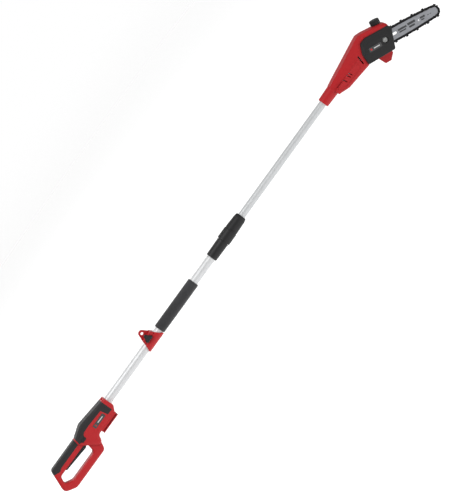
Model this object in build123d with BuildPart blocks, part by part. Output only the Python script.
"""Telescoping cordless pole saw: handle, two-section pole and saw head.

Every length is in millimetres.  The strap eye's centre is the origin, +X runs along the
pole towards the saw head, +Z is the side of the eye and the oil cap, and the bar, the
chain cover and the bar nut are on the -Y side.  Stations along the pole are measured
from the handle's front rim, and heights from the pole's axis.
"""
from build123d import *
import math
import os

os.makedirs("parts", exist_ok=True)

# ---------------------------------------------------------------- driving dimensions
# pole
lower_tube_r = 14.0
upper_tube_r = 12.0
tube_wall = 1.5
lower_tube_back = -92.0
lower_tube_front = 640.0
upper_tube_length = 780.0
shown_upper_tube = 431.0
slide_clearance = 0.05
seat_clearance = 0.02

# strap bracket, foam grip
strap_station = 233.6
eye_height = 37.0
eye_hole_r = 5.0
eye_outer_r = 11.0
bracket_wall = 4.8
bracket_back = -31.0
bracket_front = 41.0
knob_bolt_r = 2.5
grip_back = 276.0
grip_length = 181.0
grip_r = 18.5

# telescoping clamp
socket_back = 550.0
socket_shoulder = 612.0
twist_nut_length = 97.0
twist_nut_r = 22.0
thread_r = 16.6
thread_play = 0.4

# handle
handle_wall = 4.0
skin = 2.0
loop_half_width = 17.0
body_half_width = 26.0
rim_station = 3.0
handle_screw_r = 1.6
handle_screw_head_r = 3.6

# saw head
head_socket_length = 52.0
head_socket_r = 20.0
head_half_width = 30.0
head_wall = 3.0
pad_y = -15.0
motor_tilt = 4.0
bar_tilt = 25.06
head_to_sprocket = 223.3
sprocket_drop = 10.9
motor_r = 19.0
motor_length = 52.0

# bar, chain and cover
bar_y = -20.0
bar_thickness = 3.8
groove_width = 1.3
groove_depth = 7.0
chain_pitch = 9.525
drive_links = 30
bar_belly = 4.0
sprocket_teeth = 6
nose_pitch_r = 16.5
link_half_height = 3.6
link_gauge = 1.1
strap_gauge = 1.25
rivet_r = 1.4
stud_station = 52.0
stud_r = 4.0
cover_wall = 2.2
cover_depth = 25.0
cap_station = 55.0
cap_r = 16.5
cap_y = 6.0
cap_seat = 49.5
cap_height = 15.5
neck_r = 9.0

# ---------------------------------------------------------------- places and planes
rim_x = -strap_station
pole_z = -eye_height


def side_plane(y=0.0):
    """Plane facing the right-hand side: local x along the pole, local y upwards."""
    return Plane(origin=(rim_x, y, pole_z), x_dir=(1, 0, 0), z_dir=(0, -1, 0))


def cross_plane(station, height=0.0):
    """Plane across the pole: local x is +Y, local y is +Z."""
    return Plane(origin=(rim_x + station, 0, pole_z + height), x_dir=(0, 1, 0), z_dir=(1, 0, 0))


def top_plane(height):
    """Plane seen from above: local x along the pole, local y is +Y."""
    return Plane(origin=(rim_x, 0, pole_z + height), x_dir=(1, 0, 0), z_dir=(0, 0, 1))


head_station = lower_tube_front + 69.0 + shown_upper_tube
socket_front = head_station + head_socket_length
sprocket_x = rim_x + head_station + head_to_sprocket
sprocket_z = pole_z - sprocket_drop
bar_dir = Vector(math.cos(math.radians(bar_tilt)), 0, -math.sin(math.radians(bar_tilt)))
bar_up = Vector(math.sin(math.radians(bar_tilt)), 0, math.cos(math.radians(bar_tilt)))
motor_dir = Vector(math.cos(math.radians(motor_tilt)), 0, -math.sin(math.radians(motor_tilt)))


def bar_plane(y=0.0):
    """Plane facing -Y at the sprocket: local x along the bar, local y square to it."""
    return Plane(origin=(sprocket_x, y, sprocket_z), x_dir=tuple(bar_dir), z_dir=(0, -1, 0))


def motor_plane(station):
    """Plane across the motor's axis, its station measured from the sprocket shaft."""
    origin = Vector(sprocket_x, 0, sprocket_z) + motor_dir * station
    return Plane(origin=tuple(origin), x_dir=(0, 1, 0), z_dir=tuple(motor_dir))


def cap_plane(lift):
    """Plane square to the oil cap's axis, a height above the sprocket's axis."""
    origin = Vector(sprocket_x, cap_y, sprocket_z) + bar_dir * cap_station + bar_up * lift
    return Plane(origin=tuple(origin), x_dir=(0, 1, 0), z_dir=tuple(bar_up))


def save(builder, name):
    """Label a finished sub-part and write it to its own file."""
    builder.part.label = name
    export_step(builder.part, f"parts/{name}.step")


# ---------------------------------------------------------------- handle envelopes
loop_outline = [(-276, 16), (-96, 16), (-96, -30), (-124, -81.5), (-270, -81.5), (-306, -58)]
loop_radii = [14, 14, 20, 16, 34, 16]
hand_hole = [(-272, -19), (-141, -19), (-150, -57.3), (-258, -57.3), (-283, -43)]
hand_hole_radii = [10, 12, 10, 30, 8]
body_outline = [
    (-166, 9), (-150, 16), (-110, 29.5), (14, 18), (14, -8),
    (-12, -36), (-97, -37), (-116, -72), (-136, -40), (-158, -12),
]
body_radii = [14, 30, 26, 12.5, 12.5, 12.5, 14, 14, 30, 20]
body_round = 10.0
loop_round = 8.0
hole_round = 6.0
lug = (-4.0, 18.0)
lug_r = 4.5


def handle_envelope(inset):
    """The handle's outer form, moved inwards by an inset."""
    with BuildPart() as grip:
        with BuildSketch(side_plane()):
            with BuildLine():
                FilletPolyline(*loop_outline, radius=loop_radii, close=True)
            make_face()
            if inset:
                offset(amount=-inset, kind=Kind.INTERSECTION)
        extrude(amount=loop_half_width - inset, both=True)
        with BuildSketch(side_plane()):
            with BuildLine():
                FilletPolyline(*hand_hole, radius=hand_hole_radii, close=True)
            make_face()
            if inset:
                offset(amount=inset, kind=Kind.INTERSECTION)
        extrude(amount=2 * loop_half_width, both=True, mode=Mode.SUBTRACT)
        for side_face in (grip.faces().sort_by(Axis.Y)[0], grip.faces().sort_by(Axis.Y)[-1]):
            fillet(side_face.inner_wires()[0].edges(), hole_round - inset)
        for side_face in (grip.faces().sort_by(Axis.Y)[0], grip.faces().sort_by(Axis.Y)[-1]):
            fillet(side_face.outer_wire().edges(), loop_round - 1.5 * inset)
    with BuildPart() as front:
        with BuildSketch(side_plane()):
            with BuildLine():
                FilletPolyline(*body_outline, radius=body_radii, close=True)
            make_face()
            if inset:
                offset(amount=-inset, kind=Kind.INTERSECTION)
        extrude(amount=body_half_width - inset, both=True)
        side_edges = front.edges().filter_by(lambda e: abs(e.center().Y) > body_half_width / 2)
        fillet(side_edges, body_round - inset)
        with BuildSketch(cross_plane(rim_station - inset)):
            Rectangle(200, 200)
        extrude(amount=60, mode=Mode.SUBTRACT)
        if not inset:
            with BuildSketch(side_plane()):
                with Locations(lug):
                    Circle(lug_r)
            extrude(amount=5, both=True)
    with BuildPart() as envelope:
        add(grip)
        add(front)
    return envelope.part


handle_outer = handle_envelope(0.0)
handle_core = handle_envelope(skin)
handle_cavity = handle_envelope(handle_wall)


def side_prism(points, y_from=60.0, y_to=-60.0):
    """A straight-sided outline run across the object, for cutting with."""
    with BuildPart(mode=Mode.PRIVATE) as prism:
        with BuildSketch(side_plane(y_from)):
            Polygon(*points, align=None)
        extrude(amount=y_from - y_to)
    return prism.part


def side_post(point, radius, y_from, y_to, plane=side_plane):
    """A round post or hole across the object, between two distances from the middle."""
    with BuildPart(mode=Mode.PRIVATE) as post:
        with BuildSketch(plane(y_from)):
            with Locations(point):
                Circle(radius)
        extrude(amount=y_from - y_to)
    return post.part


def cross_post(radius, station_from, station_to):
    """A cylinder on the pole's axis between two stations."""
    with BuildPart(mode=Mode.PRIVATE) as post:
        with BuildSketch(cross_plane(station_from)):
            Circle(radius)
        extrude(amount=station_to - station_from)
    return post.part


# ---------------------------------------------------------------- handle: soft grips
rear_grip_region = [
    (-330, 40), (-152, 40), (-160.5, -3), (-249, -3), (-261, -7.5), (-279, 0.5), (-330, 0.5),
]
body_grip_region = [
    (-148, 40), (-156.5, -4), (-150, -5), (-136, -10), (-129, -4), (-126, 3), (-119, 7),
    (-95, 8), (-35, 5), (-30, -21), (-10, -21), (-10, 40),
]
button_centre = (-138.0, -6.0)
button_length = 19.0
button_height = 8.4
button_stand = 1.6
button_play = 0.35

with BuildPart() as rear_grip_overmould:
    add(handle_outer)
    add(handle_core, mode=Mode.SUBTRACT)
    add(side_prism(rear_grip_region), mode=Mode.INTERSECT)
save(rear_grip_overmould, "rear_grip_overmould")

with BuildPart() as button_pocket:
    with BuildSketch(side_plane()):
        with Locations(button_centre):
            SlotOverall(button_length + 2 * button_play, button_height + 2 * button_play)
    extrude(amount=body_half_width + 4)

with BuildPart() as body_overmould:
    add(handle_outer)
    add(handle_core, mode=Mode.SUBTRACT)
    add(side_prism(body_grip_region), mode=Mode.INTERSECT)
    add(button_pocket, mode=Mode.SUBTRACT)
save(body_overmould, "body_overmould")

# ---------------------------------------------------------------- handle: shells
screw_points = [(-261, 3), (-288, -58), (-205, -69.5), (-117, -56), (-103, 19.5), (-50, -25)]
boss_r = 4.4
screw_seat_y = 11.0
screw_length = 22.0
trigger_slot = (-249.0, -141.0)
trigger_half_width = 8.6
trigger_play = 0.5
trigger_pivot = (-240.0, -12.5)
pin_r = 2.0
pin_play = 0.05
dock_back = -83.0
dock_front = -12.0
dock_top = -32.0
dock_bottom = -47.3
dock_half_width = 24.0
badge_size = (51.0, 13.0)
badge_centre = (-62.5, -9.9)
badge_thick = 0.8
badge_sink = 0.4
handle_ribs = [(-88.0, -84.0), (-14.0, -3.0)]

with BuildPart() as handle_hollow:
    add(handle_cavity)
    for point in screw_points:
        add(side_post(point, boss_r, 60, -60), mode=Mode.SUBTRACT)
    for rib_back, rib_front in handle_ribs:
        rib = side_prism([(rib_back, -36), (rib_front, -36), (rib_front, 40), (rib_back, 40)])
        add(rib, mode=Mode.SUBTRACT)
    dock_floor = side_prism([(dock_back - 4, -60), (dock_front + 4, -60), (dock_front + 4, -29), (dock_back - 4, -29)])
    add(dock_floor, mode=Mode.SUBTRACT)

with BuildPart() as handle_body:
    add(handle_outer)
    add(handle_hollow, mode=Mode.SUBTRACT)
    add(rear_grip_overmould, mode=Mode.SUBTRACT)
    add(body_overmould, mode=Mode.SUBTRACT)
    add(button_pocket, mode=Mode.SUBTRACT)
    add(cross_post(lower_tube_r + seat_clearance, lower_tube_back - 0.2, 20), mode=Mode.SUBTRACT)
    slot_back, slot_front = trigger_slot
    slot_box = [(slot_back, -30), (slot_front, -30), (slot_front, -11), (slot_back, -11)]
    half_slot = trigger_half_width + trigger_play
    add(side_prism(slot_box, half_slot, -half_slot), mode=Mode.SUBTRACT)
    add(side_post(trigger_pivot, pin_r + seat_clearance, 15, -15), mode=Mode.SUBTRACT)
    for point in screw_points:
        add(side_post(point, handle_screw_r + 0.1, screw_seat_y, screw_seat_y - screw_length - 1), mode=Mode.SUBTRACT)
        add(side_post(point, handle_screw_head_r + 0.3, 60, screw_seat_y), mode=Mode.SUBTRACT)
    dock_box = [(dock_back, -60), (dock_front, -60), (dock_front, dock_top), (dock_back, dock_top)]
    add(side_prism(dock_box, dock_half_width, -dock_half_width), mode=Mode.SUBTRACT)
    with BuildSketch(side_plane(-body_half_width + badge_sink)):
        with Locations(badge_centre):
            Rectangle(badge_size[0] + 0.2, badge_size[1] + 0.2)
    extrude(amount=5, mode=Mode.SUBTRACT)

with BuildPart() as handle_shell_right:
    add(handle_body)
    split(bisect_by=Plane.XZ, keep=Keep.TOP)
save(handle_shell_right, "handle_shell_right")

with BuildPart() as handle_shell_left:
    add(handle_body)
    split(bisect_by=Plane.XZ, keep=Keep.BOTTOM)
save(handle_shell_left, "handle_shell_left")

# ---------------------------------------------------------------- handle: small pieces
with BuildPart() as handle_screws:
    for point in screw_points:
        add(side_post(point, handle_screw_r, screw_seat_y, screw_seat_y - screw_length))
        add(side_post(point, handle_screw_head_r, screw_seat_y + 2.6, screw_seat_y))
    with BuildSketch(side_plane(screw_seat_y + 2.6)):
        with Locations(*screw_points):
            RegularPolygon(1.7, 6)
    extrude(amount=1.5, mode=Mode.SUBTRACT)
save(handle_screws, "handle_screws")

with BuildPart() as handle_badge:
    with BuildSketch(side_plane(-body_half_width + badge_sink)):
        with Locations(badge_centre):
            RectangleRounded(badge_size[0], badge_size[1], 1.5)
    extrude(amount=badge_thick)
save(handle_badge, "handle_badge")

with BuildPart() as trigger:
    with BuildSketch(side_plane()):
        with BuildLine():
            FilletPolyline(
                (-246, -7.5), (-246, -24), (-168, -29.5), (-154, -31), (-144.5, -24), (-144.5, -9.5),
                radius=[3, 3, 30, 10, 4, 2], close=True,
            )
        make_face()
    extrude(amount=trigger_half_width, both=True)
    lower_edges = trigger.edges().filter_by(
        lambda e: abs(e.center().Y) > 4 and e.center().Z < pole_z - 19
    )
    chamfer(lower_edges, 1.5)
    with BuildSketch(side_plane()):
        with Locations(trigger_pivot):
            Circle(pin_r + pin_play)
    extrude(amount=20, both=True, mode=Mode.SUBTRACT)
save(trigger, "trigger")

with BuildPart() as trigger_pin:
    add(side_post(trigger_pivot, pin_r, 14.5, -14.5))
save(trigger_pin, "trigger_pin")

spring_station = -166.0
trigger_top = -7.5
cavity_roof = 16.0 - handle_wall
with BuildPart() as trigger_spring:
    with BuildSketch(top_plane(trigger_top)):
        with Locations((spring_station, 0)):
            Circle(4.0)
            Circle(3.0, mode=Mode.SUBTRACT)
    extrude(amount=cavity_roof - trigger_top)
save(trigger_spring, "trigger_spring")

with BuildPart() as switch_module:
    with BuildSketch(top_plane(cavity_roof - 12.0)):
        with Locations((-200, 0)):
            RectangleRounded(34, 17, 1.5)
    extrude(amount=12.0)
    with BuildSketch(top_plane(cavity_roof - 16.2)):
        with Locations((-196, 0)):
            Circle(2.2)
    extrude(amount=4.2)
save(switch_module, "switch_module")

flange_thick = 2.0
flange_back_y = -(body_half_width - handle_wall) + 0.3 + flange_thick
with BuildPart() as lock_off_button:
    with BuildSketch(side_plane(flange_back_y)):
        with Locations(button_centre):
            SlotOverall(button_length, button_height)
    extrude(amount=body_half_width + button_stand + flange_back_y)
    top_edges = lock_off_button.faces().sort_by(Axis.Y)[0].edges()
    fillet(top_edges, 1.0)
    with BuildSketch(side_plane(flange_back_y)):
        with Locations(button_centre):
            SlotOverall(button_length + 3, button_height + 3)
    extrude(amount=flange_thick)
save(lock_off_button, "lock_off_button")

with BuildPart() as lock_off_spring:
    with BuildSketch(side_plane(0)):
        with Locations(button_centre):
            Circle(3.2)
            Circle(2.4, mode=Mode.SUBTRACT)
    extrude(amount=-flange_back_y)
save(lock_off_spring, "lock_off_spring")

with BuildPart() as battery_dock:
    with BuildSketch(cross_plane(dock_back)):
        with Locations((0, (dock_top - 39.5) / 2)):
            Rectangle(2 * dock_half_width, dock_top + 39.5)
        with Locations((0, -42)):
            Rectangle(34, 5)
        with Locations((0, (dock_bottom - 44.5) / 2)):
            Rectangle(46, -44.5 - dock_bottom)
    extrude(amount=dock_front - dock_back)
    with BuildSketch(cross_plane(dock_back + 12)):
        with Locations((0, -44)):
            Rectangle(26, 8)
    extrude(amount=100, mode=Mode.SUBTRACT)
save(battery_dock, "battery_dock")


with BuildPart() as battery_terminals:
    with BuildSketch(cross_plane(dock_back + 12)):
        with Locations((0, -43.6)):
            Rectangle(24, 7)
    extrude(amount=5)
    with BuildSketch(cross_plane(dock_back + 17)):
        with Locations((-8, -43.6), (0, -43.6), (8, -43.6)):
            Rectangle(0.8, 5)
    extrude(amount=26)
save(battery_terminals, "battery_terminals")

# ---------------------------------------------------------------- lower pole
with BuildPart() as lower_tube:
    with BuildSketch(cross_plane(lower_tube_back)):
        Circle(lower_tube_r)
        Circle(lower_tube_r - tube_wall, mode=Mode.SUBTRACT)
    extrude(amount=lower_tube_front - lower_tube_back)
save(lower_tube, "lower_tube")

with BuildPart() as foam_grip:
    with BuildSketch(cross_plane(grip_back)):
        Circle(grip_r)
    extrude(amount=grip_length)
    fillet(foam_grip.edges(), 2.5)
    with BuildSketch(cross_plane(grip_back)):
        Circle(lower_tube_r + seat_clearance)
    extrude(amount=grip_length, mode=Mode.SUBTRACT)
save(foam_grip, "foam_grip")

# ---------------------------------------------------------------- strap bracket
ring_r = lower_tube_r + 5.0
bolt_height = ring_r - 1.0
ring_bottom = -ring_r
bracket_gap = 0.4
boss_y = ring_r


def bracket_half(sign):
    """One side plate of the strap bracket with its half ring; sign -1 is the right one."""
    with BuildPart() as half:
        with BuildSketch(cross_plane(strap_station + bracket_back)):
            Circle(ring_r)
            with Locations((0, (ring_r + eye_height) / 2)):
                Rectangle(2 * bracket_wall, eye_height + 2 * eye_outer_r)
            with Locations((0, bolt_height)):
                RectangleRounded(2 * boss_y, 13, 3)
        extrude(amount=bracket_front - bracket_back)
        with BuildSketch(side_plane(40)):
            with BuildLine():
                eye = CenterArc((strap_station, eye_height), eye_outer_r, 152, -124)
                foot_back, foot_front = strap_station + bracket_back, strap_station + bracket_front
                Polyline(
                    eye @ 1,
                    (foot_front, ring_bottom + 4), (foot_front - 3, ring_bottom - 1),
                    (foot_back + 3, ring_bottom - 1), (foot_back, ring_bottom + 4),
                    eye @ 0,
                )
            make_face()
        extrude(amount=80, mode=Mode.INTERSECT)
        add(cross_post(lower_tube_r + seat_clearance, 100, 400), mode=Mode.SUBTRACT)
        add(side_post((strap_station, eye_height), eye_hole_r, 40, -40), mode=Mode.SUBTRACT)
        add(side_post((strap_station, bolt_height), knob_bolt_r + 0.1, 40, -40), mode=Mode.SUBTRACT)
        with BuildSketch(side_plane(boss_y + 1)):
            with Locations((strap_station, bolt_height)):
                RegularPolygon(4.2, 6)
        extrude(amount=4.6, mode=Mode.SUBTRACT)
        middle = bracket_gap / 2
        cut_from, cut_to = (60, -middle) if sign < 0 else (middle, -60)
        with BuildSketch(side_plane(cut_from)):
            with Locations((strap_station, 0)):
                Rectangle(200, 200)
        extrude(amount=cut_from - cut_to, mode=Mode.SUBTRACT)
    return half


strap_bracket_right = bracket_half(-1)
save(strap_bracket_right, "strap_bracket_right")
strap_bracket_left = bracket_half(1)
save(strap_bracket_left, "strap_bracket_left")

with BuildPart() as strap_nut:
    with BuildSketch(side_plane(boss_y)):
        with Locations((strap_station, bolt_height)):
            RegularPolygon(4.0, 6)
            Circle(knob_bolt_r + 0.06, mode=Mode.SUBTRACT)
    extrude(amount=3.6)
save(strap_nut, "strap_nut")

knob_back_y = -boss_y - 0.4
knob_thick = 10.0
with BuildPart() as strap_knob:
    with BuildSketch(side_plane(knob_back_y)):
        with Locations((strap_station, bolt_height)):
            Circle(6.5)
            with PolarLocations(9.5, 3, 90):
                Circle(5.2)
            with PolarLocations(5.0, 3, 90):
                Rectangle(9, 8.4)
    extrude(amount=knob_thick)
    front_edges = strap_knob.faces().sort_by(Axis.Y)[0].edges()
    fillet(front_edges, 1.2)
    add(side_post((strap_station, bolt_height), knob_bolt_r, boss_y - 0.5, knob_back_y))
save(strap_knob, "strap_knob")

# ---------------------------------------------------------------- telescoping clamp
with BuildPart() as clamp_socket:
    with BuildSketch(side_plane()):
        with BuildLine():
            Polyline(
                (socket_back, lower_tube_r + seat_clearance), (socket_back, 17.4), (socket_back + 1.5, 18.2),
                (socket_shoulder - 6, 19.0), (socket_shoulder - 2, 19.6), (socket_shoulder, 19.6),
                (socket_shoulder, thread_r), (socket_shoulder + 52, thread_r), (socket_shoulder + 52, upper_tube_r + 0.6),
                (lower_tube_front + 0.1, upper_tube_r + 0.6), (lower_tube_front + 0.1, lower_tube_r + seat_clearance),
                close=True,
            )
        make_face()
    revolve(axis=Axis((rim_x, 0, pole_z), (1, 0, 0)))
save(clamp_socket, "clamp_socket")

nut_back = socket_shoulder + 0.6
nut_front = socket_shoulder + twist_nut_length
collet_back = socket_shoulder + 53.0
collet_front = nut_front - 9.0
with BuildPart() as collet_ring:
    with BuildSketch(side_plane()):
        with BuildLine():
            Polyline(
                (collet_back, upper_tube_r + slide_clearance), (collet_back, 16.0), (collet_back + 12, 16.0),
                (collet_front, 13.4), (collet_front, upper_tube_r + slide_clearance),
                close=True,
            )
        make_face()
    revolve(axis=Axis((rim_x, 0, pole_z), (1, 0, 0)))
    with BuildSketch(cross_plane(collet_back)):
        with PolarLocations(14, 6):
            Rectangle(8, 1.2)
    extrude(amount=18, mode=Mode.SUBTRACT)
save(collet_ring, "collet_ring")

with BuildPart() as twist_nut:
    with BuildSketch(side_plane()):
        with BuildLine():
            Polyline(
                (nut_back, thread_r + thread_play), (nut_back, 20.4), (nut_back + 2.0, 21.6), (nut_back + 4, twist_nut_r),
                (socket_shoulder + 39, twist_nut_r), (socket_shoulder + 41, 21.4), (socket_shoulder + 41.6, 20.0),
                (socket_shoulder + 43.4, 20.0), (socket_shoulder + 44, 21.0), (nut_front - 10, 19.2), (nut_front - 2.5, 17.6), (nut_front, 15.4),
                (nut_front, upper_tube_r + 0.5), (nut_front - 7, upper_tube_r + 0.5),
                (collet_front + 0.4, 13.9), (collet_back + 12, 16.6), (collet_back - 1, thread_r + thread_play),
                close=True,
            )
        make_face()
    revolve(axis=Axis((rim_x, 0, pole_z), (1, 0, 0)))
save(twist_nut, "twist_nut")

# ---------------------------------------------------------------- upper pole
upper_tube_front = socket_front + 8.0
upper_tube_back = upper_tube_front - upper_tube_length
with BuildPart() as upper_tube:
    with BuildSketch(cross_plane(upper_tube_back)):
        Circle(upper_tube_r)
        Circle(upper_tube_r - tube_wall, mode=Mode.SUBTRACT)
    extrude(amount=upper_tube_length)
save(upper_tube, "upper_tube")

guide_length = 30.0
with BuildPart() as tube_end_guide:
    with BuildSketch(side_plane()):
        with BuildLine():
            Polyline(
                (upper_tube_back - 2.5, 6.0), (upper_tube_back - 2.5, lower_tube_r - tube_wall - slide_clearance),
                (upper_tube_back, lower_tube_r - tube_wall - slide_clearance),
                (upper_tube_back, upper_tube_r - tube_wall - seat_clearance),
                (upper_tube_back + guide_length, upper_tube_r - tube_wall - seat_clearance),
                (upper_tube_back + guide_length, 6.0),
                close=True,
            )
        make_face()
    revolve(axis=Axis((rim_x, 0, pole_z), (1, 0, 0)))
save(tube_end_guide, "tube_end_guide")

cable_r = 3.0
coil_r = 8.5
lead_back = -60.0
with BuildPart() as coiled_cable:
    add(cross_post(coil_r, lead_back, upper_tube_back - 2.5))
save(coiled_cable, "coiled_cable")

with BuildPart() as upper_cable:
    add(cross_post(cable_r, upper_tube_back - 2.5, upper_tube_front + 6))
save(upper_cable, "upper_cable")

# ---------------------------------------------------------------- saw head: envelopes
head_outline = [
    (-8, 8.7), (226, 42), (246, 34.5), (294, 9.5),
    (317, -5), (309, -27), (286, -61), (260, -72.5), (190, -44.5), (165, -42), (88, -35), (48, -19.5), (-8, -14),
]
head_radii = [1, 18, 20, 30, 14, 24, 16, 13, 16, 40, 30, 20, 1]
upper_lean = 9.0
lower_lean = 7.0
widest_height = -3.0
head_round = 12.0
taper_half_width = 20.5
taper_end = 130.0


def flank_outline(inset, side, along):
    """What is cut from beside the head at its widest height, as seen from above."""
    back, front, wide = head_station - 60, head_station + 420, head_half_width + 60
    points = [
        (back, taper_half_width - inset), (socket_front, taper_half_width - inset),
        (head_station + taper_end, head_half_width - inset), (front, head_half_width - inset),
        (front, wide), (back, wide),
    ]
    return [(along * x, side * y) for x, y in points]


def head_envelope(inset):
    """The saw head's outer form, moved inwards by an inset; stations from the housing's back."""
    with BuildPart() as head:
        with BuildSketch(side_plane()):
            with BuildLine():
                shifted = [(head_station + x, z) for x, z in head_outline]
                FilletPolyline(*shifted, radius=head_radii, close=True)
            make_face()
            if inset:
                offset(amount=-inset, kind=Kind.INTERSECTION)
        extrude(amount=head_half_width - inset, both=True)
        side_edges = head.edges().filter_by(lambda e: abs(e.center().Y) > head_half_width / 2)
        fillet(side_edges, head_round - inset)
        middle_plane = top_plane(widest_height)
        for lean, flank in ((upper_lean, middle_plane), (lower_lean, -middle_plane)):
            for side in (1, -1):
                along = 1 if flank is middle_plane else -1
                with BuildSketch(flank):
                    Polygon(*flank_outline(inset, side, along), align=None)
                extrude(amount=110, taper=-lean, mode=Mode.SUBTRACT)
        with BuildSketch(cross_plane(socket_front + inset)):
            Rectangle(200, 200)
        extrude(amount=-2 * head_socket_length, mode=Mode.SUBTRACT)
    return head.part


head_outer = head_envelope(0.0)
head_cavity = head_envelope(head_wall)

# ---------------------------------------------------------------- saw head: shared places
cover_outline = [(-28.5, -43), (-32, -6), (-22, 27), (0, 34.5), (81, 34.5), (88, 26), (68, -40.5)]
cover_radii = [6, 20, 14, 12, 5, 6, 7]
head_screw_points = [(74, 11), (74, -20), (160, 23), (161, -31), (210, 30), (299, -23), (262, -59)]
head_screw_seat_y = 14.0
head_boss_r = 4.4
tension_point = (60.0, 8.6)
tension_pin_r = 2.6
tension_travel = 3.0
tension_y = -9.0
tension_screw_r = 2.0
gearbox_r = 21.5
gearbox_right_y = -11.7
gearbox_left_y = 22.0
shaft_r = 4.0
bearing_r = 9.5
bearing_width = 6.0
motor_front = -76.0
motor_back = motor_front - motor_length
pinion_bearing_r = 6.5
motor_shaft_r = 2.5
tank_bottom = 10.0
tank_top = 40.0
tank_left_y = 24.0
tank_right_y = -4.0


def cover_face(amount):
    """The chain cover's outline as a face, grown by an amount."""
    with BuildSketch(Plane.XY, mode=Mode.PRIVATE) as face:
        with BuildLine():
            FilletPolyline(*cover_outline, radius=cover_radii, close=True)
        make_face()
        if amount:
            offset(amount=amount, kind=Kind.INTERSECTION)
    return face.sketch


def bar_block(corner, opposite, y_from, y_to):
    """A block square to the bar, between two corners along it and two distances across."""
    with BuildPart(mode=Mode.PRIVATE) as block:
        with BuildSketch(bar_plane(y_from)):
            middle = ((corner[0] + opposite[0]) / 2, (corner[1] + opposite[1]) / 2)
            with Locations(middle):
                Rectangle(abs(opposite[0] - corner[0]), abs(opposite[1] - corner[1]))
        extrude(amount=y_from - y_to)
    return block.part


def bar_post(point, radius, y_from, y_to):
    """A round post or hole across the bar."""
    return side_post(point, radius, y_from, y_to, plane=bar_plane)


def bar_rod(point, y, radius, from_u, to_u):
    """A cylinder lying along the bar, at a height above its middle and a distance across."""
    start = Vector(sprocket_x, y, sprocket_z) + bar_dir * from_u + bar_up * point[1]
    with BuildPart(mode=Mode.PRIVATE) as rod:
        with BuildSketch(Plane(origin=tuple(start), x_dir=(0, 1, 0), z_dir=tuple(bar_dir))):
            Circle(radius)
        extrude(amount=to_u - from_u)
    return rod.part


def motor_post(radius, station_from, station_to):
    """A cylinder on the motor's axis."""
    with BuildPart(mode=Mode.PRIVATE) as post:
        with BuildSketch(motor_plane(station_from)):
            Circle(radius)
        extrude(amount=station_to - station_from)
    return post.part


# ---------------------------------------------------------------- saw head: housing
boss_centres = [(head_station + x, z) for x, z in head_screw_points]
rib_stations = [(motor_back + 2, motor_back + 6), (motor_front - 8, motor_front - 4)]
vent_places = [(95.0, -9.5), (113.0, -9.5), (122.0, -9.5)]
long_vent = [(169.0, -23.5), (173.5, -24.5), (181.0, 4.0), (177.0, 5.0)]
panel = [(60, -5), (164, 0), (158, -25), (70, -23)]
panel_depth = 1.2

with BuildPart() as head_hollow:
    add(head_cavity)
    with BuildSketch(bar_plane(pad_y + head_wall)):
        add(cover_face(4.0))
        Polygon((-30, -33), (-34, -80), (130, -80), (130, 30), (40, 30), align=None)
    extrude(amount=60, mode=Mode.SUBTRACT)
    add(bar_block((38, -16), (92, 19), tank_right_y - 0.1, -20), mode=Mode.SUBTRACT)
    for centre in boss_centres:
        add(side_post(centre, head_boss_r, 60, -60), mode=Mode.SUBTRACT)
    for rib_from, rib_to in rib_stations:
        with BuildSketch(motor_plane(rib_from)):
            Rectangle(100, 100)
        extrude(amount=rib_to - rib_from, mode=Mode.SUBTRACT)
    with BuildSketch(cross_plane(upper_tube_front + 4)):
        Rectangle(100, 100)
    extrude(amount=-20, mode=Mode.SUBTRACT)

with BuildPart() as panel_skin:
    add(head_outer)
    add(head_envelope(panel_depth), mode=Mode.SUBTRACT)
    add(side_prism([(head_station + x, z) for x, z in panel]), mode=Mode.INTERSECT)

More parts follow.
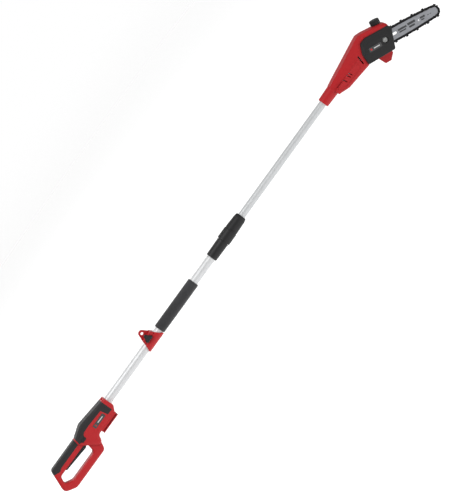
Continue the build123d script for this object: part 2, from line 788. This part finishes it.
with BuildPart() as head_body:
    add(head_outer)
    with BuildSketch(bar_plane(pad_y)):
        add(cover_face(0.4))
        Polygon((-30, -33), (-24, -80), (130, -80), (130, 30), (40, 30), align=None)
    extrude(amount=60, mode=Mode.SUBTRACT)
    add(head_hollow, mode=Mode.SUBTRACT)
    with BuildSketch(bar_plane(pad_y + 1)):
        with Locations((60, -1.5)):
            RectangleRounded(36, 13, 3)
    extrude(amount=1 + pad_y - bar_y - bar_thickness / 2)
    add(cross_post(upper_tube_r + seat_clearance, socket_front - 5, upper_tube_front), mode=Mode.SUBTRACT)
    add(cross_post(cable_r + 1, upper_tube_front - 2, upper_tube_front + 8), mode=Mode.SUBTRACT)
    add(motor_post(motor_r + seat_clearance, motor_back, motor_front), mode=Mode.SUBTRACT)
    add(motor_post(motor_r - 5, motor_back - 4, motor_back), mode=Mode.SUBTRACT)
    add(bar_post((0, 0), shaft_r + 3.5, gearbox_right_y, pad_y - 2), mode=Mode.SUBTRACT)
    add(bar_post((stud_station, 0), stud_r + seat_clearance, tank_right_y - 1, -30), mode=Mode.SUBTRACT)
    tension_u, tension_v = tension_point
    channel_low = (tension_u - 4 - tension_travel - 2, tension_v - 3.9)
    channel_high = (tension_u + 11, tension_v + 3.9)
    add(bar_block(channel_low, channel_high, tension_y + 4, tension_y - 4), mode=Mode.SUBTRACT)
    slot_low = (tension_u - tension_pin_r - tension_travel - 0.5, tension_v - tension_pin_r - 0.3)
    slot_high = (tension_u + tension_pin_r + 0.5, tension_v + tension_pin_r + 0.3)
    add(bar_block(slot_low, slot_high, tension_y, -30), mode=Mode.SUBTRACT)
    add(bar_rod(tension_point, tension_y, tension_screw_r + 0.1, tension_u, 110), mode=Mode.SUBTRACT)
    add(bar_rod(tension_point, tension_y, 3.8, tension_u + 15, 120), mode=Mode.SUBTRACT)
    for centre in boss_centres:
        tip_y = head_screw_seat_y - screw_length - 1
        add(side_post(centre, handle_screw_r + 0.1, head_screw_seat_y, tip_y), mode=Mode.SUBTRACT)
        add(side_post(centre, handle_screw_head_r + 0.3, 60, head_screw_seat_y), mode=Mode.SUBTRACT)
    with BuildSketch(cap_plane(cap_seat)):
        Circle(cap_r + 0.8)
    extrude(amount=30, mode=Mode.SUBTRACT)
    with BuildSketch(cap_plane(cap_seat + 1)):
        Circle(neck_r + 0.25)
    extrude(amount=-(cap_seat + 1 - tank_top), mode=Mode.SUBTRACT)
    add(panel_skin, mode=Mode.SUBTRACT)
    for side in (1, -1):
        with BuildSketch(side_plane(side * (head_half_width + 5) if side > 0 else -head_half_width + 8)):
            for x, z in vent_places:
                with Locations(Location((head_station + x, z, 0), (0, 0, 12))):
                    SlotOverall(15, 2.6, rotation=90)
            Polygon(*[(head_station + x, z) for x, z in long_vent], align=None)
        extrude(amount=13, mode=Mode.SUBTRACT)

with BuildPart() as head_shell_right:
    add(head_body)
    split(bisect_by=Plane.XZ, keep=Keep.TOP)
save(head_shell_right, "head_shell_right")

with BuildPart() as head_shell_left:
    add(head_body)
    split(bisect_by=Plane.XZ, keep=Keep.BOTTOM)
save(head_shell_left, "head_shell_left")

with BuildPart() as head_screws:
    for centre in boss_centres:
        add(side_post(centre, handle_screw_r, head_screw_seat_y, head_screw_seat_y - screw_length))
        add(side_post(centre, handle_screw_head_r, head_screw_seat_y + 2.6, head_screw_seat_y))
    with BuildSketch(side_plane(head_screw_seat_y + 2.6)):
        with Locations(*boss_centres):
            RegularPolygon(1.7, 6)
    extrude(amount=1.5, mode=Mode.SUBTRACT)
save(head_screws, "head_screws")

with BuildPart() as head_socket:
    with BuildSketch(side_plane()):
        with BuildLine():
            Polyline(
                (head_station, upper_tube_r + seat_clearance), (head_station, 16.4), (head_station + 2, 17.8),
                (head_station + 8, 18.2), (socket_front - 6, head_socket_r - 0.6), (socket_front, head_socket_r - 0.6),
                (socket_front, upper_tube_r + seat_clearance), close=True,
            )
        make_face()
    revolve(axis=Axis((rim_x, 0, pole_z), (1, 0, 0)))
save(head_socket, "head_socket")

hook_points = [(213.5, -54.0), (216, -86), (234, -94), (257, -83.5), (259.5, -72.3)]
with BuildPart() as branch_hook:
    with BuildSketch(side_plane(8)):
        Polygon(*[(head_station + x, z) for x, z in hook_points], align=None)
    extrude(amount=16)
    add(head_outer, mode=Mode.SUBTRACT)
    fillet(branch_hook.edges().filter_by(Axis.Y).sort_by(Axis.Z)[:3], 2.5)
save(branch_hook, "branch_hook")

# ---------------------------------------------------------------- saw head: drive
with BuildPart() as motor_can:
    add(motor_post(motor_r, motor_back, motor_front))
    add(motor_post(motor_r - 2, motor_back + 2, motor_front - 2), mode=Mode.SUBTRACT)
    add(motor_post(motor_shaft_r + 0.06, motor_back - 1, motor_front + 1), mode=Mode.SUBTRACT)
save(motor_can, "motor_can")

gear_teeth = 30
pinion_teeth = 10
gear_pitch_r = 15.0
pinion_pitch_r = gear_pitch_r * pinion_teeth / gear_teeth
face_width = 5.0
tooth_height = 1.0

with BuildPart() as motor_rotor:
    add(motor_post(motor_r - 5, motor_back + 6, motor_front - 8))
    add(motor_post(motor_shaft_r, motor_back - 3, -gear_pitch_r - 1))
save(motor_rotor, "motor_rotor")

with BuildPart() as motor_fan:
    add(motor_post(5, motor_front + 3, motor_front + 13))
    with BuildSketch(motor_plane(motor_front + 4)):
        Circle(17)
    extrude(amount=1.5)
    with BuildSketch(motor_plane(motor_front + 4)):
        with PolarLocations(11, 11):
            Rectangle(12, 1.2, rotation=20)
    extrude(amount=8)
    add(motor_post(motor_shaft_r, motor_front, motor_front + 20), mode=Mode.SUBTRACT)
save(motor_fan, "motor_fan")

with BuildPart() as gearbox:
    add(bar_post((0, 0), gearbox_r, gearbox_left_y, gearbox_right_y))
    with BuildSketch(motor_plane(-45)):
        RectangleRounded(19, 26, 4)
    extrude(amount=30)
    add(bar_post((0, 0), 17.6, 14.0, -4.5), mode=Mode.SUBTRACT)
    add(motor_post(7.0, -34, 0), mode=Mode.SUBTRACT)
    add(motor_post(pinion_bearing_r + 0.01, -40, -34), mode=Mode.SUBTRACT)
    add(motor_post(3.4, -50, -40), mode=Mode.SUBTRACT)
    add(bar_post((0, 0), bearing_r + 0.01, gearbox_right_y + bearing_width, gearbox_right_y - 1), mode=Mode.SUBTRACT)
    add(bar_post((0, 0), bearing_r + 0.01, 14.0 + bearing_width, 13), mode=Mode.SUBTRACT)
    add(bar_post((0, 0), shaft_r + 1, 30, -20), mode=Mode.SUBTRACT)
save(gearbox, "gearbox")

with BuildPart() as shaft_bearings:
    for y_from in (gearbox_right_y + bearing_width, 14.0 + bearing_width):
        add(bar_post((0, 0), bearing_r, y_from, y_from - bearing_width))
    add(bar_post((0, 0), shaft_r + 0.02, 30, -30), mode=Mode.SUBTRACT)
save(shaft_bearings, "shaft_bearings")

with BuildPart() as pinion_bearing:
    add(motor_post(pinion_bearing_r, -40, -34))
    add(motor_post(motor_shaft_r + 0.02, -42, -30), mode=Mode.SUBTRACT)
save(pinion_bearing, "pinion_bearing")


def bevel_gear(teeth, own_pitch_r, mate_pitch_r, axis_plane, bore_r, thick):
    """A straight bevel gear whose pitch cone has its tip at the plane's origin."""
    cone = math.atan2(own_pitch_r, mate_pitch_r)
    slant = math.hypot(own_pitch_r, mate_pitch_r)
    inner = slant - face_width
    root = cone - 0.62 * tooth_height * 2 / slant
    tip = cone + 0.42 * tooth_height * 2 / slant
    half_tooth = math.pi / teeth * 0.40
    with BuildPart() as gear:
        with BuildSketch(axis_plane):
            with BuildLine():
                Polyline(
                    (0, inner * math.cos(root)), (inner * math.sin(root), inner * math.cos(root)),
                    (slant * math.sin(root), slant * math.cos(root)),
                    (slant * math.sin(root), slant * math.cos(root) + thick), (0, slant * math.cos(root) + thick),
                    close=True,
                )
            make_face()
        revolve(axis=Axis(axis_plane.origin, axis_plane.y_dir))
        for tooth in range(teeth):
            turn = 2 * math.pi * tooth / teeth
            corners = []
            for reach in (inner, slant):
                for level, share in ((root - 0.02, 1.25), (tip, 0.62)):
                    for sign in (-1, 1):
                        angle = turn + sign * half_tooth * share
                        radial = reach * math.sin(level)
                        corner = (
                            axis_plane.origin + axis_plane.y_dir * (reach * math.cos(level))
                            + axis_plane.x_dir * (radial * math.cos(angle)) + axis_plane.z_dir * (radial * math.sin(angle))
                        )
                        corners.append(tuple(corner))
            ConvexPolyhedron(corners)
        bore = Plane(origin=axis_plane.origin, x_dir=axis_plane.x_dir, z_dir=axis_plane.y_dir)
        with BuildSketch(bore):
            Circle(bore_r)
        extrude(amount=2 * slant, mode=Mode.SUBTRACT)
    return gear


shaft_centre = (sprocket_x, 0, sprocket_z)
gear_plane = Plane(origin=shaft_centre, x_dir=tuple(motor_dir), z_dir=tuple(motor_dir.cross(Vector(0, 1, 0))))
with BuildPart() as bevel_wheel:
    add(bevel_gear(gear_teeth, gear_pitch_r, pinion_pitch_r, gear_plane, shaft_r, 4.0))
save(bevel_wheel, "bevel_wheel")

half_turn = math.pi / pinion_teeth
pinion_up = motor_dir.cross(Vector(0, 1, 0))
pinion_x = Vector(0, 1, 0) * math.cos(half_turn) + pinion_up * math.sin(half_turn)
pinion_plane = Plane(origin=shaft_centre, x_dir=tuple(pinion_x), z_dir=tuple(pinion_x.cross(motor_dir * -1)))
with BuildPart() as pinion:
    add(bevel_gear(pinion_teeth, pinion_pitch_r, gear_pitch_r, pinion_plane, motor_shaft_r, 3.0))
save(pinion, "pinion")

sprocket_pitch_r = chain_pitch / (2 * math.sin(math.pi / (2 * sprocket_teeth)))
rim_r = sprocket_pitch_r * math.cos(math.pi / (2 * sprocket_teeth)) - link_half_height - 0.3
star_r = sprocket_pitch_r * math.cos(math.pi / (2 * sprocket_teeth)) - 6.3
shaft_end_y = bar_y - 5.5

with BuildPart() as sprocket_shaft:
    add(bar_post((0, 0), shaft_r, 14.0 + bearing_width + 0.5, shaft_end_y))
    with BuildSketch(bar_plane(shaft_end_y + 1.6)):
        Circle(shaft_r + 1)
        Circle(shaft_r - 0.5, mode=Mode.SUBTRACT)
    extrude(amount=0.9, mode=Mode.SUBTRACT)
save(sprocket_shaft, "sprocket_shaft")

with BuildPart() as drive_sprocket:
    add(bar_post((0, 0), 8.0, bar_y + 4.4, bar_y - 3.6))
    for y_from in (bar_y + 2.7, bar_y - 0.8):
        add(bar_post((0, 0), rim_r, y_from, y_from - 1.9))
    with BuildSketch(bar_plane(bar_y + 1)):
        with PolarLocations(star_r - 2, sprocket_teeth, 15):
            Circle(2.0)
    extrude(amount=2)
    add(bar_post((0, 0), shaft_r, 10, -40), mode=Mode.SUBTRACT)
save(drive_sprocket, "drive_sprocket")

with BuildPart() as sprocket_clip:
    with BuildSketch(bar_plane(shaft_end_y + 1.6)):
        Circle(6.0)
        Circle(shaft_r - 0.5, mode=Mode.SUBTRACT)
        with Locations((4, 0)):
            Rectangle(8, 3, mode=Mode.SUBTRACT)
    extrude(amount=0.8)
save(sprocket_clip, "sprocket_clip")

# ---------------------------------------------------------------- chain path


def rail_radius(along):
    """Half the height between the chain's two runs, at a share of the way to the nose."""
    taper = (nose_pitch_r - sprocket_pitch_r) * along
    return sprocket_pitch_r + taper + 4 * bar_belly * along * (1 - along)


def loop_point(travel, reach):
    """The chain's pitch line at a distance travelled: out along the top, back underneath."""
    lean = math.asin((sprocket_pitch_r - nose_pitch_r) / reach)
    run = reach * math.cos(lean)
    nose_turn = nose_pitch_r * (math.pi - 2 * lean)
    if travel <= run:
        along = travel / run
        radius = rail_radius(along)
        return (reach * along + radius * math.sin(lean), radius * math.cos(lean))
    travel -= run
    if travel <= nose_turn:
        angle = math.pi / 2 - lean - travel / nose_pitch_r
        return (reach + nose_pitch_r * math.cos(angle), nose_pitch_r * math.sin(angle))
    travel -= nose_turn
    if travel <= run:
        along = 1 - travel / run
        radius = rail_radius(along)
        return (reach * along + radius * math.sin(lean), -radius * math.cos(lean))
    angle = -math.pi / 2 + lean - (travel - run) / sprocket_pitch_r
    return (sprocket_pitch_r * math.cos(angle), sprocket_pitch_r * math.sin(angle))


def rivet_travels(reach):
    """Where each rivet sits along the loop when every link has its full pitch."""
    travels = [0.0]
    for _ in range(2 * drive_links):
        here = loop_point(travels[-1], reach)
        low, high = travels[-1], travels[-1] + 1.3 * chain_pitch
        for _ in range(40):
            middle = (low + high) / 2
            if math.dist(here, loop_point(middle, reach)) < chain_pitch:
                low = middle
            else:
                high = middle
        travels.append(high)
    return travels


def loop_length(reach):
    """Once round the pitch line."""
    lean = math.asin((sprocket_pitch_r - nose_pitch_r) / reach)
    arcs = sprocket_pitch_r * (math.pi + 2 * lean) + nose_pitch_r * (math.pi - 2 * lean)
    return 2 * reach * math.cos(lean) + arcs


short_reach, long_reach = 150.0, 400.0
for _ in range(40):
    bar_reach = (short_reach + long_reach) / 2
    if rivet_travels(bar_reach)[-1] > loop_length(bar_reach):
        short_reach = bar_reach
    else:
        long_reach = bar_reach
rivets = [loop_point(travel, bar_reach) for travel in rivet_travels(bar_reach)[:-1]]
print("sprocket to nose centre", round(bar_reach, 2), "links", len(rivets))

link_places = []
for number, (start_u, start_v) in enumerate(rivets):
    end_u, end_v = rivets[(number + 1) % len(rivets)]
    slope = math.degrees(math.atan2(end_v - start_v, end_u - start_u))
    link_places.append(Location((start_u, start_v, 0), (0, 0, slope)))
drive_places = link_places[0::2]
side_places = link_places[1::2]
right_cutters = side_places[0:-1:4]
left_cutters = side_places[2:-1:4]
right_straps = [place for place in side_places if place not in right_cutters]
left_straps = [place for place in side_places if place not in left_cutters]


def link_face(extra_points=(), more_points=()):
    """A link's outline between its two rivets, with the parts that stand up from it."""
    with BuildSketch(Plane.XY, mode=Mode.PRIVATE) as face:
        with Locations((chain_pitch / 2, 0)):
            SlotCenterToCenter(chain_pitch, 2 * link_half_height)
        for points in (extra_points, more_points):
            if points:
                Polygon(*points, align=None)
        with Locations((0, 0), (chain_pitch, 0)):
            Circle(rivet_r + 0.05, mode=Mode.SUBTRACT)
    return face.sketch


tang = [(0.8, -3), (chain_pitch - 0.8, -3), (chain_pitch - 3.6, -6.0), (3.0, -6.0)]
cutter_tooth = [(-2.6, 2.2), (-2.4, 5.4), (5.6, 6.2), (4.6, 3.2)]
depth_gauge = [(9.0, 3.0), (10.2, 5.3), (12.0, 5.5), (12.9, 3.2), (11.5, 0.5), (9.5, 0.5)]
side_gap = 0.07
near_side_y = bar_y - link_gauge / 2 - side_gap
far_side_y = bar_y + link_gauge / 2 + side_gap + strap_gauge

with BuildPart() as chain_drive_links:
    with BuildSketch(bar_plane(bar_y + link_gauge / 2)):
        with Locations(*drive_places):
            add(link_face(tang))
    extrude(amount=link_gauge)
save(chain_drive_links, "chain_drive_links")

with BuildPart() as chain_tie_straps:
    with BuildSketch(bar_plane(near_side_y)):
        with Locations(*right_straps):
            add(link_face())
    extrude(amount=strap_gauge)
    with BuildSketch(bar_plane(far_side_y)):
        with Locations(*left_straps):
            add(link_face())
    extrude(amount=strap_gauge)
save(chain_tie_straps, "chain_tie_straps")

top_plate = [(-2.5, 5.3), (5.4, 6.1), (5.6, 6.2), (5.5, 7.1), (-2.5, 6.3)]
with BuildPart() as chain_cutters:
    for places, side_y, plate_y in (
        (right_cutters, near_side_y, near_side_y + 1.6), (left_cutters, far_side_y, far_side_y + 1.2),
    ):
        with BuildSketch(bar_plane(side_y)):
            with Locations(*places):
                add(link_face(cutter_tooth, depth_gauge))
        extrude(amount=strap_gauge)
        with BuildSketch(bar_plane(plate_y)):
            with Locations(*places):
                Polygon(*top_plate, align=None)
        extrude(amount=strap_gauge + 2.8)
save(chain_cutters, "chain_cutters")

with BuildPart() as chain_rivets:
    with BuildSketch(bar_plane(far_side_y + 0.25)):
        with Locations(*rivets):
            Circle(rivet_r)
    extrude(amount=far_side_y - near_side_y + strap_gauge + 0.5)
save(chain_rivets, "chain_rivets")

# ---------------------------------------------------------------- guide bar
rail_gap = 0.3
nose_rail_r = nose_pitch_r * math.cos(math.asin(chain_pitch / 2 / nose_pitch_r)) - link_half_height - 0.15
bar_tail = 24.0
rail_start = bar_tail + 8.0
start_half = rail_radius(rail_start / bar_reach) - link_half_height - rail_gap
belly_station = (rail_start + bar_reach) / 2
belly_half = rail_radius(belly_station / bar_reach) - link_half_height - rail_gap


def bar_face(amount):
    """The guide bar's outline with its round nose, grown by an amount."""
    with BuildSketch(Plane.XY, mode=Mode.PRIVATE) as face:
        with BuildLine():
            Polyline(
                (rail_start, -start_half), (bar_tail, -start_half + 4),
                (bar_tail, start_half - 4), (rail_start, start_half),
            )
            ThreePointArc((rail_start, start_half), (belly_station, belly_half), (bar_reach, nose_rail_r))
            ThreePointArc((bar_reach, nose_rail_r), (bar_reach + nose_rail_r, 0), (bar_reach, -nose_rail_r))
            ThreePointArc((bar_reach, -nose_rail_r), (belly_station, -belly_half), (rail_start, -start_half))
        make_face()
        if amount:
            offset(amount=amount, kind=Kind.INTERSECTION)
    return face.sketch


bar_face_y = bar_y + bar_thickness / 2
with BuildPart() as guide_bar:
    with BuildSketch(bar_plane(bar_face_y)):
        add(bar_face(0))
    extrude(amount=bar_thickness)
    with BuildSketch(bar_plane(bar_y + groove_width / 2)):
        add(bar_face(2))
        add(bar_face(-groove_depth), mode=Mode.SUBTRACT)
    extrude(amount=groove_width, mode=Mode.SUBTRACT)
    with BuildSketch(bar_plane(bar_y + 10)):
        with Locations((stud_station + 20, 0)):
            SlotOverall(52, 2 * (stud_r + 0.15))
        with Locations(tension_point):
            Circle(tension_pin_r + 0.1)
        with Locations((84, 9)):
            Circle(1.5)
        with Locations((176, -1)):
            Circle(2.5)
    extrude(amount=20, mode=Mode.SUBTRACT)
save(guide_bar, "guide_bar")

with BuildPart() as bar_stud:
    add(bar_post((stud_station, 0), stud_r, tank_right_y - 1, -37.5))
save(bar_stud, "bar_stud")

with BuildPart() as tension_pin:
    block_low = (tension_u - 4, tension_v - 3.6)
    block_high = (tension_u + 4, tension_v + 3.6)
    add(bar_block(block_low, block_high, tension_y + 3.7, tension_y - 3.7))
    add(bar_post(tension_point, tension_pin_r, tension_y, bar_y - bar_thickness / 2))
    add(bar_rod(tension_point, tension_y, tension_screw_r + slide_clearance, tension_u - 10, tension_u + 10), mode=Mode.SUBTRACT)
save(tension_pin, "tension_pin")

with BuildPart() as tension_screw:
    add(bar_rod(tension_point, tension_y, tension_screw_r, tension_u - 4, tension_u + 16))
    add(bar_rod(tension_point, tension_y, 3.4, tension_u + 15.2, tension_u + 19))
    slot_start = Vector(sprocket_x, tension_y, sprocket_z) + bar_dir * (tension_u + 19) + bar_up * tension_v
    with BuildSketch(Plane(origin=tuple(slot_start), x_dir=(0, 1, 0), z_dir=tuple(bar_dir))):
        Rectangle(10, 1.2)
    extrude(amount=-1.6, mode=Mode.SUBTRACT)
save(tension_screw, "tension_screw")

# ---------------------------------------------------------------- chain cover and nut
cover_face_y = pad_y - cover_depth
upper_bevel = (20.0, 8.0)
back_bevel = (8.0, 5.0)
recess_floor_y = -31.0
recess_r = 10.5
boss_outer_r = 8.6


def bevel_wedge(start, end, depth, width, drop):
    """What a bevel takes off along one straight edge of the cover's face."""
    along = (bar_dir * (end[0] - start[0]) + bar_up * (end[1] - start[1])).normalized()
    square = along.cross(Vector(0, -1, 0))
    corner = Vector(sprocket_x, pad_y - depth, sprocket_z) + bar_dir * start[0] + bar_up * start[1] - along * 30
    with BuildPart(mode=Mode.PRIVATE) as wedge:
        with BuildSketch(Plane(origin=tuple(corner), x_dir=tuple(square), z_dir=tuple(along))):
            Polygon((width, 0), (0, drop), (-8, drop), (-8, -8), (width, -8), align=None)
        extrude(amount=math.dist(start, end) + 60)
    return wedge.part


def cover_block(inset):
    """The cover's body, with a narrow chamfer round its face and wide bevels above and behind."""
    depth = cover_depth - inset
    with BuildPart(mode=Mode.PRIVATE) as block:
        with BuildSketch(bar_plane(pad_y)):
            add(cover_face(-inset))
        extrude(amount=depth)
        chamfer(block.faces().sort_by(Axis.Y)[0].outer_wire().edges(), 2.0)
        for first, (width, drop) in ((3, upper_bevel), (1, back_bevel)):
            start, end = cover_outline[first], cover_outline[first + 1]
            away = math.dist(start, end)
            normal = ((end[1] - start[1]) / away, -(end[0] - start[0]) / away)
            moved = [(point[0] + normal[0] * inset, point[1] + normal[1] * inset) for point in (start, end)]
            share = 1 + inset * (math.hypot(1 / width, 1 / drop) - 1 / width - 1 / drop)
            add(bevel_wedge(moved[0], moved[1], depth, share * width, share * drop), mode=Mode.SUBTRACT)
    return block.part


with BuildPart() as chain_cover:
    add(cover_block(0.0))
    add(cover_block(cover_wall), mode=Mode.SUBTRACT)
    add(bar_post((stud_station, 0), recess_r + cover_wall, recess_floor_y + cover_wall, cover_face_y + 0.5))
    add(bar_post((stud_station, 0), boss_outer_r, bar_y - bar_thickness / 2, recess_floor_y))
    add(bar_post((stud_station, 0), recess_r, recess_floor_y, cover_face_y - 5), mode=Mode.SUBTRACT)
    add(bar_post((stud_station, 0), stud_r + 0.2, 0, -60), mode=Mode.SUBTRACT)
    add(bar_block((60, -30), (100, 30), pad_y + 1, bar_y - 6.5), mode=Mode.SUBTRACT)
save(chain_cover, "chain_cover")

with BuildPart() as bar_nut:
    add(bar_post((stud_station, 0), 8.4, recess_floor_y - 0.05, recess_floor_y - 1.65))
    with BuildSketch(bar_plane(recess_floor_y - 1.6)):
        with Locations((stud_station, 0)):
            RegularPolygon(6.5, 6, major_radius=False)
    extrude(amount=6.6)
    add(bar_post((stud_station, 0), stud_r + slide_clearance, 0, -60), mode=Mode.SUBTRACT)
save(bar_nut, "bar_nut")

with BuildPart() as head_badge:
    with BuildSketch(bar_plane(cover_face_y)):
        with Locations((14, -5)):
            RectangleRounded(44, 14, 2)
    extrude(amount=0.6)
save(head_badge, "head_badge")

# ---------------------------------------------------------------- chain oil
with BuildPart() as oil_tank:
    add(bar_block((29, tank_bottom), (67, tank_top), tank_left_y, tank_right_y))
    tank_low = (30.5, tank_bottom + 1.5)
    tank_high = (65.5, tank_top - 1.5)
    add(bar_block(tank_low, tank_high, tank_left_y - 1.5, tank_right_y + 1.5), mode=Mode.SUBTRACT)
    with BuildSketch(cap_plane(tank_top - 1.0)):
        Circle(neck_r)
    extrude(amount=cap_seat + 9.0 - tank_top + 1.0)
    with BuildSketch(cap_plane(tank_top - 3)):
        Circle(neck_r - 1.8)
    extrude(amount=40, mode=Mode.SUBTRACT)
save(oil_tank, "oil_tank")

with BuildPart() as oil_cap_seal:
    with BuildSketch(cap_plane(cap_seat + 9.02)):
        Circle(neck_r)
        Circle(neck_r - 1.8, mode=Mode.SUBTRACT)
    extrude(amount=1.6)
save(oil_cap_seal, "oil_cap_seal")

with BuildPart() as oil_cap:
    with BuildSketch(cap_plane(cap_seat + 0.2)):
        Circle(cap_r - 0.8)
    extrude(amount=cap_height)
    cap_up = Axis(origin=(0, 0, 0), direction=tuple(bar_up))
    chamfer(oil_cap.faces().sort_by(cap_up)[-1].edges(), 1.0)
    with BuildSketch(cap_plane(cap_seat + 0.2)):
        with PolarLocations(cap_r - 0.8, 24):
            Circle(0.8)
    extrude(amount=cap_height - 1.4)
    with BuildSketch(cap_plane(cap_seat)):
        Circle(neck_r + 0.35)
    extrude(amount=9.02 + 1.6 + 0.05, mode=Mode.SUBTRACT)
save(oil_cap, "oil_cap")
